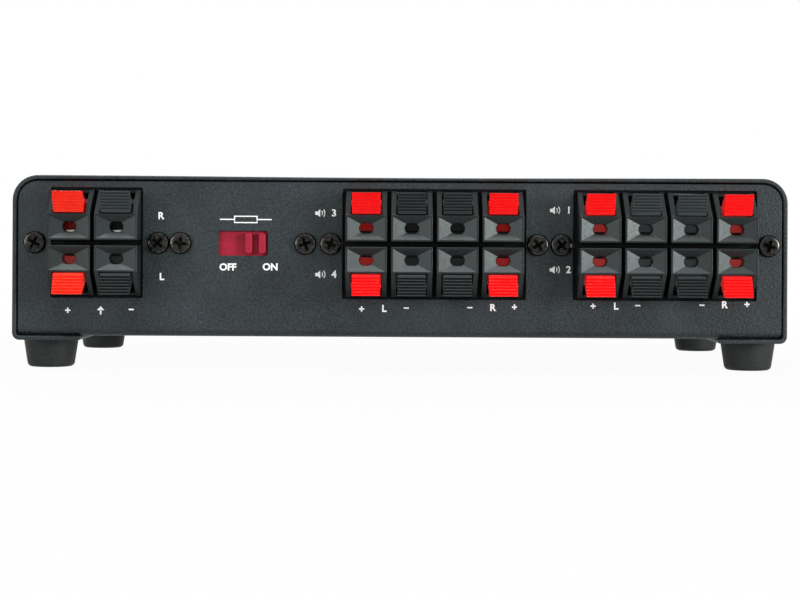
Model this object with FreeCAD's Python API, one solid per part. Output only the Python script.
import FreeCAD, Part
import os
from collections import namedtuple
from math import cos, hypot, pi, sin

from FreeCAD import Vector

# Four-zone speaker selector, in millimetres. The terminal panel faces -Y and the push buttons
# face +Y, +Z is up, and the origin is on the ground under the middle of the whole selector.
# Places on a terminal are given as (out, up): out from the panel's outer face, and up from the
# line of screws that the upper and the lower row of terminals share.

# Casing: a wrapped sheet-steel cover over a folded sheet-steel chassis
case_depth = 130.0
case_height = 44.7
cover_sheet = 1.2
cover_top_radius = 6.8
cover_bend_radius = 2.0
cover_flange_past_foot = 2.95
chassis_sheet = 1.0
chassis_bend_radius = 2.0
chassis_corner_radius = 1.0
seam_gap = 0.3
panel_recess = 0.4

# The row of screws along the terminal panel, from its left edge to its right edge
left_edge_to_input_screw = 6.1
input_screw_to_opening = 4.35
input_to_switch_screws = 6.05
switch_to_zone_screws = 6.85
zone_screw_to_opening = 3.3
zone_to_zone_screws = 6.35
zone_screw_to_right_edge = 5.15
opening_below_panel_top = 1.9

# Spring-clip terminals: each cell is a nose with a funnel, and two cheeks beside its lever
input_pitch = 12.6
input_end_gap = 0.3
zone_pitch = 12.2
zone_end_gap = 0.9
cell_gap = 1.05
cell_depth = 11.0
opening_clearance = 0.5
cheek_wall = 1.45
cheek_tip_out = 0.6
end_wall = 1.0
end_wall_top_in = 1.3
nose_inner_up = 0.7
nose_height = 7.15
nose_proud = 8.7
nose_thickness = 5.7
funnel_rim = 0.42
funnel_depth = 1.8
funnel_past_rim = 0.3
wire_hole_width = 3.75
wire_hole_height = 2.75

# Terminal base: the moulding behind the panel that holds the cells and the contacts
base_wall = 1.3
base_floor = 1.5
pocket_clearance = 0.1
ear_thickness = 4.0
ear_half_height = 4.0
ear_past_screw = 2.9

# Lever: a ribbed tab, a stem that turns on two trunnions, and a tongue behind the wire hole
lever_side_gap = 0.325
lever_nose_gap = 0.15
tab_height = 5.7
tab_end_gap = 0.65
tab_inner_out = 8.9
tab_outer_out = 11.8
tab_thickness = 1.6
rib_pitch = 0.9
rib_width = 0.6
rib_slant = 0.15
rib_height = 0.25
stem_gap = 0.4
stem_thickness = 2.4
stem_past_pivot = 1.7
tongue_out = 1.6
tongue_thickness = 1.1
tongue_to_contact = 0.2
pivot_in = 5.5
trunnion_radius = 1.0
trunnion_sides = 8
trunnion_clearance = 0.05
trunnion_end_gap = 0.2
lug_height = 0.2
lug_length = 1.4
lug_out = 8.6

# Contact: one bent strip of tinned spring bronze with a solder tail
strip_thickness = 0.5
strip_width = 5.0
contact_show = 0.5
contact_nose_gap = 0.3
leaf_gap = 1.3
leaf_top_in = 1.5
tail_width = 2.0
tail_length = 5.5
tail_clearance = 0.2

# Protection slide switch
switch_window_width = 13.15
switch_window_height = 6.6
switch_frame_sheet = 1.1
switch_frame_height = 14.0
switch_frame_rim = 1.2
switch_screw_to_track = 2.7
switch_body_end_wall = 3.8
switch_body_side_wall = 2.7
switch_body_floor = 3.9
slide_travel = 6.8
slide_overlap = 0.5
slide_plate_thickness = 0.6
slide_clearance = 0.3
slide_rib_width = 1.85
slide_rib_height = 5.45
slide_rib_pitch = 3.65
slide_rib_proud = 1.1
carriage_length = 12.0
carriage_height = 6.0
carriage_depth = 4.5

# Screws and the threaded holes that they end in
screw_radius = 1.45
screw_head_radius = 2.9
screw_head_height = 1.7
screw_clearance = 0.25
screw_past_thread = 0.6
thread_clearance = 0.05

# Feet
foot_height = 8.05
foot_top_radius = 7.65
foot_bottom_radius = 6.4
foot_edge = 1.2
foot_in_from_side = 0.25
foot_from_panel = 16.0
foot_recess_clearance = 0.6
foot_recess_depth = 4.8

# Zone push buttons and the latching switches behind them
button_pitch = 24.0
button_width = 14.0
button_height = 8.0
button_proud = 6.0
button_travel = 3.5
button_depth = 13.0
button_edge_radius = 1.0
button_gap = 0.3
plunger_size = 3.4
plunger_grip = 6.0
plunger_clearance = 0.2
zone_switch_width = 10.4
zone_switch_height = 11.6
zone_switch_length = 32.0
zone_switch_stop_gap = 1.5

# Switch board on its snap-in supports, and the power resistors of the protection circuit
board_thickness = 1.6
board_side_margin = 8.0
board_back_margin = 14.5
board_to_panel = 6.0
board_hole_inset = 5.0
board_hole = 3.0
support_height = 14.0
support_width = 6.0
support_neck = 2.6
support_play = 0.1
support_barb = 3.6
support_tip = 1.6
support_head = 2.2
resistor_size = (22.0, 9.5, 9.0)
resistor_count = 4
resistor_pitch = 27.0
resistor_to_switch = 5.0

# Places on a terminal
nose_outer_up = nose_inner_up + nose_height
nose_back = nose_proud - nose_thickness
wire_hole_up = nose_inner_up + nose_height / 2
contact_up = wire_hole_up - wire_hole_height / 2 + contact_show
tab_inner_up = nose_outer_up + lever_nose_gap
tab_outer_up = tab_inner_up + tab_height
cell_reach = tab_outer_up + tab_end_gap
stem_inner_up = nose_outer_up + stem_gap
stem_outer_up = stem_inner_up + stem_thickness
pivot_up = (stem_inner_up + stem_outer_up) / 2
leaf_up = stem_outer_up + leaf_gap

# The feet stand within the cover's flanges
foot_from_side = foot_in_from_side + foot_top_radius
cover_flange = foot_from_side + foot_top_radius + cover_flange_past_foot

# Heights of the casing
cover_base = foot_height
cover_top = cover_base + case_height
chassis_base = cover_base + cover_sheet
chassis_floor = chassis_base + chassis_sheet
panel_top = cover_top - cover_sheet - seam_gap

# Slide switch: its plate fills the window at both ends of its travel
slide_plate_length = switch_window_width + slide_travel + 2 * slide_overlap
slide_plate_height = switch_window_height + 2 * slide_overlap
slide_track_length = slide_plate_length + slide_travel + 2 * slide_clearance
switch_screw_spacing = slide_track_length + 2 * switch_screw_to_track

# Places along the terminal panel, measured from its left edge
input_columns, zone_columns = 2, 4
input_opening = input_columns * input_pitch - cell_gap + 2 * input_end_gap
zone_opening = zone_columns * zone_pitch - cell_gap + 2 * zone_end_gap
input_screw_spacing = input_opening + 2 * input_screw_to_opening
zone_screw_spacing = zone_opening + 2 * zone_screw_to_opening
input_left = left_edge_to_input_screw
switch_left = input_left + input_screw_spacing + input_to_switch_screws
zone_34_left = switch_left + switch_screw_spacing + switch_to_zone_screws
zone_12_left = zone_34_left + zone_screw_spacing + zone_to_zone_screws
case_width = zone_12_left + zone_screw_spacing + zone_screw_to_right_edge
panel_width = case_width - 2 * (cover_sheet + seam_gap)

input_x = input_left + input_screw_spacing / 2 - case_width / 2
switch_x = switch_left + switch_screw_spacing / 2 - case_width / 2
zone_34_x = zone_34_left + zone_screw_spacing / 2 - case_width / 2
zone_12_x = zone_12_left + zone_screw_spacing / 2 - case_width / 2
opening_height = 2 * (cell_reach + opening_clearance)
terminal_z = panel_top - opening_below_panel_top - opening_height / 2

# Places in depth: the levers' tips and the buttons' faces are equally far from the origin
lever_proud = tab_outer_out
panel_span = case_depth - 2 * panel_recess
rear_y = (lever_proud - panel_span - button_proud) / 2
front_y = rear_y + panel_span

# The board is as wide as its row of resistors needs
board_width = resistor_count * resistor_pitch + 2 * board_side_margin

# Heights behind the buttons
board_base = chassis_floor + support_height
board_top = board_base + board_thickness
button_z = board_top + zone_switch_height / 2

# A block of terminals: the middle of it, its columns and their pitch, its opening and the spacing
# of its screws, then the upper and the lower row, each with its terminals from left to right as
# one looks at the terminal panel
Block = namedtuple("Block", "x columns pitch opening screw_spacing rows terminals")
zone_row = ("left_plus", "left_minus", "right_minus", "right_plus")
blocks = {
    "input": Block(input_x, input_columns, input_pitch, input_opening, input_screw_spacing,
                   ("input_right", "input_left"), ("plus", "minus")),
    "zone_34": Block(zone_34_x, zone_columns, zone_pitch, zone_opening, zone_screw_spacing,
                     ("zone_3", "zone_4"), zone_row),
    "zone_12": Block(zone_12_x, zone_columns, zone_pitch, zone_opening, zone_screw_spacing,
                     ("zone_1", "zone_2"), zone_row),
}
button_x = {f"zone_{number}": (2.5 - number) * button_pitch for number in (1, 2, 3, 4)}


def box(x, y, z):
    """A block between the two values given for each direction."""
    low = Vector(min(x), min(y), min(z))
    return Part.makeBox(max(x) - low.x, max(y) - low.y, max(z) - low.z, low)


def middle(centre, size):
    """The two ends of a length that is centred on a place."""
    return centre - size / 2, centre + size / 2


def rounded_box(x, y, z, axis, low_radius, high_radius):
    """A block whose edges along one axis are rounded, with one radius low and one high."""
    block = box(x, y, z)
    for radius, is_high in ((low_radius, False), (high_radius, True)):
        if radius > 0:
            block = block.makeFillet(radius, edges_along(block, axis, sum(z) / 2, is_high))
    return block


def edges_along(block, axis, height, is_high):
    """The straight edges of a block that run along one axis, above or below a height."""
    found = []
    for edge in block.Edges:
        start, end = edge.Vertexes[0].Point, edge.Vertexes[-1].Point
        run = (end - start).normalize()
        if abs(run.dot(axis)) > 0.999 and (edge.CenterOfMass.z > height) == is_high:
            found.append(edge)
    return found


def cylinder(radius, start, run):
    """A round bar from a point along a run."""
    return Part.makeCylinder(radius, run.Length, start, run)


def side_prism(outline, width):
    """A solid of one (out, up) outline, as wide as given and centred on x = 0."""
    corners = [Vector(-width / 2, -out, up) for out, up in outline]
    face = Part.Face(Part.makePolygon(corners + corners[:1]))
    return face.extrude(Vector(width, 0, 0))


def revolved(profile):
    """A solid turned about the Z axis from its (radius, z) corners."""
    corners = [Vector(radius, 0, z) for radius, z in profile]
    face = Part.Face(Part.makePolygon(corners + corners[:1]))
    return face.revolve(Vector(0, 0, 0), Vector(0, 0, 1), 360)


def cut(solid, tools):
    """A solid less several others."""
    return solid.cut(Part.makeCompound(tools))


def column_places(block):
    """Where a block's columns of terminals are, from left to right."""
    first = block.x - (block.columns - 1) / 2 * block.pitch
    return [first + column * block.pitch for column in range(block.columns)]


def terminal_places():
    """Every terminal as (block name, lever node, column x, is upper row)."""
    places = []
    for name, block in blocks.items():
        for row, is_upper in zip(block.rows, (True, False)):
            for x, terminal in zip(column_places(block), block.terminals):
                places.append((name, f"{row}_{terminal}_lever", x, is_upper))
    return places


def at_terminal(shape, x, is_upper):
    """A piece made for an upper terminal, set in its column; a lower one is turned over."""
    placed = shape.copy()
    if not is_upper:
        placed.rotate(Vector(0, 0, 0), Vector(0, 1, 0), 180)
    placed.translate(Vector(x, rear_y, terminal_z))
    return placed


def wrap_cover():
    """The cover: top, two sides and two flanges turned in under the chassis."""
    depth = (rear_y - panel_recess, front_y + panel_recess)
    along = Vector(0, 1, 0)
    shell = rounded_box(middle(0, case_width), depth, (cover_base, cover_top),
                        along, cover_bend_radius, cover_top_radius)
    inside = rounded_box(middle(0, case_width - 2 * cover_sheet), depth,
                         (chassis_base, cover_top - cover_sheet),
                         along, cover_bend_radius - cover_sheet, cover_top_radius - cover_sheet)
    underside = box(middle(0, case_width - 2 * cover_flange), depth, (cover_base, chassis_base))
    holes = [cylinder(screw_radius + screw_clearance, Vector(x, y, cover_base), Vector(0, 0, cover_sheet))
             for x, y in foot_places()]
    return cut(shell, [inside, underside] + holes)


def chassis():
    """The chassis: terminal panel, floor and button panel folded from one sheet."""
    rise = (chassis_base, panel_top)
    folded = rounded_box(middle(0, panel_width), (rear_y, front_y), rise,
                         Vector(1, 0, 0), chassis_bend_radius, 0)
    hollow = rounded_box(middle(0, case_width), (rear_y + chassis_sheet, front_y - chassis_sheet),
                         (chassis_floor, cover_top), Vector(1, 0, 0),
                         chassis_bend_radius - chassis_sheet, 0)
    outline = rounded_box(middle(0, panel_width), (rear_y, front_y), rise, Vector(0, 1, 0),
                          chassis_corner_radius, cover_top_radius - cover_sheet - seam_gap)
    return cut(folded.cut(hollow).common(outline), panel_openings() + chassis_holes())


def panel_openings():
    """The windows of the terminal blocks, the slide switch and the buttons."""
    through_rear = (rear_y, rear_y + chassis_sheet)
    through_front = (front_y - chassis_sheet, front_y)
    windows = [box(middle(block.x, block.opening), through_rear, middle(terminal_z, opening_height))
               for block in blocks.values()]
    windows.append(box(middle(switch_x, switch_window_width), through_rear,
                       middle(terminal_z, switch_window_height)))
    windows += [box(middle(x, button_width + 2 * button_gap), through_front,
                    middle(button_z, button_height + 2 * button_gap))
                for x in button_x.values()]
    return windows


def chassis_holes():
    """The clear holes of the panel's screws and the threaded holes of the feet's screws."""
    clear = screw_radius + screw_clearance
    holes = [cylinder(clear, Vector(x, rear_y, terminal_z), Vector(0, chassis_sheet, 0))
             for x in terminal_screw_places() + switch_screw_places()]
    thread = screw_radius + thread_clearance
    holes += [cylinder(thread, Vector(x, y, chassis_base), Vector(0, 0, chassis_sheet))
              for x, y in foot_places()]
    return holes


def terminal_screw_places():
    """Where the screws of the terminal blocks are, along the panel."""
    return [block.x + side * block.screw_spacing / 2 for block in blocks.values() for side in (-1, 1)]


def switch_screw_places():
    """Where the two screws of the slide switch are, along the panel."""
    return [switch_x + side * switch_screw_spacing / 2 for side in (-1, 1)]


def foot_places():
    """Where the four feet stand."""
    x = case_width / 2 - foot_from_side
    return [(side * x, y) for y in (rear_y + foot_from_panel, front_y - foot_from_panel)
            for side in (-1, 1)]


def board_hole_places():
    """Where the switch board is snapped onto its supports."""
    x = board_width / 2 - board_hole_inset
    far, near = board_span()
    return [(side * x, y) for y in (far + board_hole_inset, near - board_hole_inset)
            for side in (-1, 1)]


def foot():
    """A tapered rubber foot with a recess for its screw, standing on z = 0."""
    taper = (foot_top_radius - foot_bottom_radius) / foot_height
    hole = screw_radius + screw_clearance
    recess = screw_head_radius + foot_recess_clearance
    return revolved([
        (recess, 0), (foot_bottom_radius - foot_edge, 0),
        (foot_bottom_radius + taper * foot_edge, foot_edge), (foot_top_radius, foot_height),
        (hole, foot_height), (hole, foot_recess_depth), (recess, foot_recess_depth)])


def screw(length):
    """A screw on the Z axis: its head sits on z = 0 and its shank runs down."""
    return revolved([
        (0, -length), (screw_radius, -length), (screw_radius, 0), (screw_head_radius, 0),
        (screw_head_radius, screw_head_height), (0, screw_head_height)])


def facing(shape, direction, place):
    """A piece made along +Z, turned to face -Y ("rear"), up or down, and set in place."""
    placed = shape.copy()
    angle = {"rear": 90, "up": 0, "down": 180}[direction]
    placed.rotate(Vector(0, 0, 0), Vector(1, 0, 0), angle)
    placed.translate(place)
    return placed


def stadium_hole(width, height, out_from, out_to, up):
    """A hole along Y with round ends, from one depth to another."""
    bar = box(middle(0, width - height), (-out_from, -out_to), middle(up, height))
    run = Vector(0, out_from - out_to, 0)
    for side in (-1, 1):
        end = Vector(side * (width - height) / 2, -out_from, up)
        bar = bar.fuse(cylinder(height / 2, end, run))
    return bar


def funnel(cell_width):
    """The four-sided funnel of a nose. Its walls run on past the rim of the round-ended wire hole."""
    mouth = (cell_width - 2 * funnel_rim, nose_height - 2 * funnel_rim)
    run_on = 1 + funnel_past_rim / funnel_depth
    wires = []
    for share in (0, run_on):
        width, height = (wide + (hole - wide) * share
                         for wide, hole in zip(mouth, (wire_hole_width, wire_hole_height)))
        (left, right), (low, high) = middle(0, width), middle(wire_hole_up, height)
        ring = [Vector(x, share * funnel_depth - nose_proud, z)
                for x, z in ((left, low), (right, low), (right, high), (left, high))]
        wires.append(Part.makePolygon(ring + ring[:1]))
    return Part.makeLoft(wires, True, True)


def terminal_cell(cell_width):
    """One upper terminal's moulding: a nose, two sloping cheeks and the walls behind them."""
    cheek = side_prism([
        (-cell_depth, nose_inner_up), (nose_back, nose_inner_up), (nose_proud, nose_outer_up),
        (cheek_tip_out, cell_reach), (-cell_depth, cell_reach)], cheek_wall)
    nose = box(middle(0, cell_width), (-nose_proud, -nose_back), (nose_inner_up, nose_outer_up))
    inner_wall = box(middle(0, cell_width), (-nose_back, cell_depth),
                     (nose_inner_up, nose_inner_up + end_wall))
    outer_wall = box(middle(0, cell_width), (end_wall_top_in, cell_depth),
                     (cell_reach - end_wall, cell_reach))
    cheeks = []
    for side in (-1, 1):
        placed = cheek.copy()
        placed.translate(Vector(side * (cell_width - cheek_wall) / 2, 0, 0))
        cheeks.append(placed)
    cell = nose.multiFuse(cheeks + [inner_wall, outer_wall]).removeSplitter()
    window = 2 * (trunnion_radius + trunnion_clearance)
    bearings = box(middle(0, cell_width), middle(pivot_in, window), middle(pivot_up, window))
    hole = stadium_hole(wire_hole_width, wire_hole_height, nose_proud, nose_back, wire_hole_up)
    return cut(cell, [funnel(cell_width), hole, bearings])


def lever_outline():
    """The (out, up) outline of a lever: ribbed tab, stem and tongue; the last rib ends the tab."""
    run_out, run_up = tab_outer_out - tab_inner_out, tab_outer_up - tab_inner_up
    length = hypot(run_out, run_up)
    along = (run_out / length, run_up / length)

    def on_face(distance, height):
        """A point of the tab's sloping face, height above the bottom of its grooves."""
        sunk = rib_height - height
        return (tab_inner_out + along[0] * distance - along[1] * sunk,
                tab_inner_up + along[1] * distance + along[0] * sunk)

    ribs = []
    for number in range(1 + int((length + rib_slant - rib_width) / rib_pitch)):
        end = length + rib_slant - number * rib_pitch
        start = end - rib_width
        ribs = [on_face(start, 0), on_face(start + rib_slant, rib_height),
                on_face(end - rib_slant, rib_height), on_face(end, 0)] + ribs
    ribs.pop()
    stem_end = -pivot_in - stem_past_pivot
    tip_up = contact_up + tongue_to_contact
    return ribs + [
        (tab_outer_out - rib_height - tab_thickness, tab_outer_up),
        (nose_back + tab_thickness, stem_outer_up), (-pivot_in, stem_outer_up),
        (stem_end, pivot_up), (-pivot_in, stem_inner_up),
        (tongue_out - tongue_thickness, stem_inner_up),
        (tongue_out - tongue_thickness, tip_up), (tongue_out, tip_up),
        (tongue_out, stem_inner_up), (tab_inner_out - tab_thickness, stem_inner_up),
        (tab_inner_out - tab_thickness, tab_inner_up), on_face(0, 0)]


def lever(cell_width):
    """One upper terminal's lever at rest, with its two trunnions and two side lugs."""
    lever_width = cell_width - 2 * (cheek_wall + lever_side_gap)
    body = side_prism(lever_outline(), lever_width)
    turns = [(side + 0.5) * 2 * pi / trunnion_sides for side in range(trunnion_sides)]
    pin = side_prism([(trunnion_radius * cos(turn) - pivot_in, trunnion_radius * sin(turn) + pivot_up)
                      for turn in turns], cell_width - 2 * trunnion_end_gap)
    lug_up = (nose_outer_up + cell_reach) / 2
    lug = side_prism([(lug_out, lug_up - lug_length / 2), (lug_out, lug_up + lug_length / 2),
                      (lug_out - lug_length, lug_up)], lever_width + 2 * lug_height)
    return body.multiFuse([pin, lug]).removeSplitter()


def contact():
    """One upper terminal's contact: plate, floor, leaf and solder tail, bent from one strip."""
    plate = box(middle(0, strip_width), (-nose_back + contact_nose_gap, cell_depth),
                (contact_up - strip_thickness, contact_up))
    floor = box(middle(0, strip_width), (cell_depth - strip_thickness, cell_depth),
                (contact_up - strip_thickness, leaf_up + strip_thickness))
    leaf = box(middle(0, strip_width), (leaf_top_in, cell_depth), (leaf_up, leaf_up + strip_thickness))
    tail = box(middle(0, tail_width), (cell_depth, cell_depth + tail_length),
               (contact_up - strip_thickness, contact_up))
    return plate.multiFuse([floor, leaf, tail]).removeSplitter()


def terminal_base(block):
    """The moulding that holds a block's cells, with an ear at each end for its screws."""
    front, back = rear_y + chassis_sheet, rear_y + cell_depth + base_floor
    pocket_width = block.pitch - cell_gap + 2 * pocket_clearance
    span = (block.columns - 1) * block.pitch + pocket_width + 2 * base_wall
    reach = cell_reach + pocket_clearance + base_wall
    tub = box(middle(block.x, span), (front, back), middle(terminal_z, 2 * reach))
    ears = box(middle(block.x, block.screw_spacing + 2 * ear_past_screw), (front, front + ear_thickness),
               middle(terminal_z, 2 * ear_half_height))
    pocket = box(middle(0, pocket_width), (chassis_sheet, cell_depth),
                 (nose_inner_up - pocket_clearance, cell_reach + pocket_clearance))
    slot = box(middle(0, tail_width + 2 * tail_clearance), (cell_depth, cell_depth + base_floor),
               (contact_up - strip_thickness - tail_clearance, contact_up + tail_clearance))
    tools = []
    for x in column_places(block):
        for is_upper in (True, False):
            tools += [at_terminal(pocket, x, is_upper), at_terminal(slot, x, is_upper)]
    for side in (-1, 1):
        start = Vector(block.x + side * block.screw_spacing / 2, front, terminal_z)
        tools.append(cylinder(screw_radius + screw_clearance, start, Vector(0, ear_thickness, 0)))
    return cut(tub.fuse(ears).removeSplitter(), tools)


def switch_frame():
    """The slide switch's steel frame, screwed behind the panel."""
    front = rear_y + chassis_sheet
    depth = (front, front + switch_frame_sheet)
    plate = box(middle(switch_x, switch_screw_spacing + 2 * ear_past_screw), depth,
                middle(terminal_z, 2 * ear_half_height))
    plate = plate.fuse(box(middle(switch_x, slide_track_length + 2 * switch_frame_rim), depth,
                           middle(terminal_z, switch_frame_height))).removeSplitter()
    tools = [slide_track(depth)]
    for x in switch_screw_places():
        tools.append(cylinder(screw_radius + thread_clearance, Vector(x, front, terminal_z),
                              Vector(0, switch_frame_sheet, 0)))
    return cut(plate, tools)


def slide_track(depth):
    """The room that the slider's plate moves in."""
    return box(middle(switch_x, slide_track_length), depth,
               middle(terminal_z, slide_plate_height + 2 * slide_clearance))


def switch_body():
    """The slide switch's moulded body, against the back of its frame."""
    front = rear_y + chassis_sheet + switch_frame_sheet
    room_back = (rear_y + chassis_sheet + slide_clearance + slide_plate_thickness
                 + carriage_depth + slide_clearance)
    room_length = carriage_length + slide_travel + 2 * slide_clearance
    room_height = carriage_height + 2 * slide_clearance
    body = box(middle(switch_x, room_length + 2 * switch_body_end_wall),
               (front, room_back + switch_body_floor),
               middle(terminal_z, room_height + 2 * switch_body_side_wall))
    return body.cut(box(middle(switch_x, room_length), (front, room_back),
                        middle(terminal_z, room_height)))


def switch_slider():
    """The slider at its right-hand end: a plate with two finger ribs, on a carriage."""
    x = switch_x + slide_travel / 2
    front = rear_y + chassis_sheet + slide_clearance
    back = front + slide_plate_thickness
    plate = box(middle(x, slide_plate_length), (front, back), middle(terminal_z, slide_plate_height))
    carriage = box(middle(x, carriage_length), (back, back + carriage_depth),
                   middle(terminal_z, carriage_height))
    ribs = []
    for side in (-1, 1):
        rib = rounded_box(middle(x + side * slide_rib_pitch / 2, slide_rib_width),
                          (rear_y - slide_rib_proud, front), middle(terminal_z, slide_rib_height),
                          Vector(0, 1, 0), slide_rib_width / 3, slide_rib_width / 3)
        ribs.append(rib)
    return plate.multiFuse(ribs + [carriage]).removeSplitter()


def zone_button(x):
    """A push button's cap, standing out of the front panel, with a socket for its plunger."""
    face = front_y + button_proud
    cap = rounded_box(middle(x, button_width), (face - button_depth, face), middle(button_z, button_height),
                      Vector(0, 1, 0), button_edge_radius, button_edge_radius)
    back = face - button_depth
    return cap.cut(box(middle(x, plunger_size + 2 * thread_clearance), (back, back + plunger_grip),
                       middle(button_z, plunger_size + 2 * thread_clearance)))


def switch_front_y():
    """Where the front of the zone switches is."""
    return front_y + button_proud - button_depth - button_travel - zone_switch_stop_gap


def plunger_span():
    """From the socket's floor to the plunger's inner end, which reaches into the switch."""
    socket_floor = front_y + button_proud - button_depth + plunger_grip
    return switch_front_y() - zone_switch_length / 2, socket_floor


def zone_plunger(x):
    """The square plunger that a button's cap is pushed onto."""
    return box(middle(x, plunger_size), plunger_span(), middle(button_z, plunger_size))


def zone_switch(x):
    """A latching switch's body on the board, with the channel of its plunger."""
    front = switch_front_y()
    body = box(middle(x, zone_switch_width), (front - zone_switch_length, front),
               (board_top, board_top + zone_switch_height))
    room = plunger_size + 2 * plunger_clearance
    inner_end = plunger_span()[0] - button_travel - plunger_clearance
    return body.cut(box(middle(x, room), (inner_end, front), middle(button_z, room)))


def resistor_span():
    """The row of resistors, from its back to its front."""
    front = switch_front_y() - zone_switch_length - resistor_to_switch
    return front - resistor_size[1], front


def board_span():
    """The switch board, from its back edge to its front edge."""
    return resistor_span()[0] - board_back_margin, front_y - chassis_sheet - board_to_panel


def switch_board():
    """The board that carries the zone switches and the resistors."""
    board = box(middle(0, board_width), board_span(), (board_base, board_top))
    return cut(board, [box(middle(x, board_hole), middle(y, board_hole), (board_base, board_top))
                       for x, y in board_hole_places()])


def resistors():
    """Four ceramic power resistors in a row behind the zone switches."""
    length, _, height = resistor_size
    return [box(middle((place - (resistor_count - 1) / 2) * resistor_pitch, length), resistor_span(),
                (board_top, board_top + height)) for place in range(resistor_count)]


def board_supports():
    """Plastic supports on the chassis floor, each with a barbed tip that holds the board down."""
    post = box(middle(0, support_width), middle(0, support_width), (0, support_height))
    catch = support_height + board_thickness + support_play
    half = [(support_neck / 2, support_height), (support_neck / 2, catch), (support_barb / 2, catch),
            (support_tip / 2, catch + support_head)]
    tip = side_prism(half + [(-out, up) for out, up in reversed(half)], support_neck)
    support = post.fuse(tip).removeSplitter()
    return [facing(support, "up", Vector(x, y, chassis_floor)) for x, y in board_hole_places()]


def fasteners():
    """Screws, by node."""
    past_thread = screw_past_thread
    terminal_screw = screw(chassis_sheet + ear_thickness + past_thread)
    switch_screw = screw(chassis_sheet + switch_frame_sheet + 2 * past_thread)
    foot_screw = screw(foot_height - foot_recess_depth + cover_sheet + chassis_sheet + past_thread)
    return {
        "terminal_screws": [facing(terminal_screw, "rear", Vector(x, rear_y, terminal_z))
                            for x in terminal_screw_places()],
        "switch_screws": [facing(switch_screw, "rear", Vector(x, rear_y, terminal_z))
                          for x in switch_screw_places()],
        "foot_screws": [facing(foot_screw, "down", Vector(x, y, foot_recess_depth))
                        for x, y in foot_places()],
    }


def build():
    """Every node of the selector, as name to list of solids."""
    nodes = {"wrap_cover": [wrap_cover()], "chassis": [chassis()]}
    feet = zip(("rear_left", "rear_right", "front_left", "front_right"), foot_places())
    for name, (x, y) in feet:
        nodes[f"{name}_foot"] = [facing(foot(), "up", Vector(x, y, 0))]
    nodes.update(fasteners())

    pieces = {}
    for name, block in blocks.items():
        cell_width = block.pitch - cell_gap
        pieces[name] = (terminal_cell(cell_width), contact(), lever(cell_width))
        nodes[f"{name}_terminal_base"] = [terminal_base(block)]
        nodes[f"{name}_terminal_cells"] = []
        nodes[f"{name}_contacts"] = []
    for block_name, lever_node, x, is_upper in terminal_places():
        cell, strip, spring_lever = (at_terminal(piece, x, is_upper) for piece in pieces[block_name])
        nodes[f"{block_name}_terminal_cells"].append(cell)
        nodes[f"{block_name}_contacts"].append(strip)
        nodes[lever_node] = [spring_lever]

    nodes["protection_switch_frame"] = [switch_frame()]
    nodes["protection_switch_body"] = [switch_body()]
    nodes["protection_switch_slider"] = [switch_slider()]
    nodes["switch_board"] = [switch_board()]
    nodes["protection_resistors"] = resistors()
    nodes["board_supports"] = board_supports()
    for zone, x in button_x.items():
        nodes[f"{zone}_button"] = [zone_button(x)]
        nodes[f"{zone}_plunger"] = [zone_plunger(x)]
        nodes[f"{zone}_switch"] = [zone_switch(x)]
    return nodes


os.makedirs("parts", exist_ok=True)
for node, solids in build().items():
    shape = solids[0] if len(solids) == 1 else Part.makeCompound(solids)
    shape.exportStep(f"parts/{node}.step")
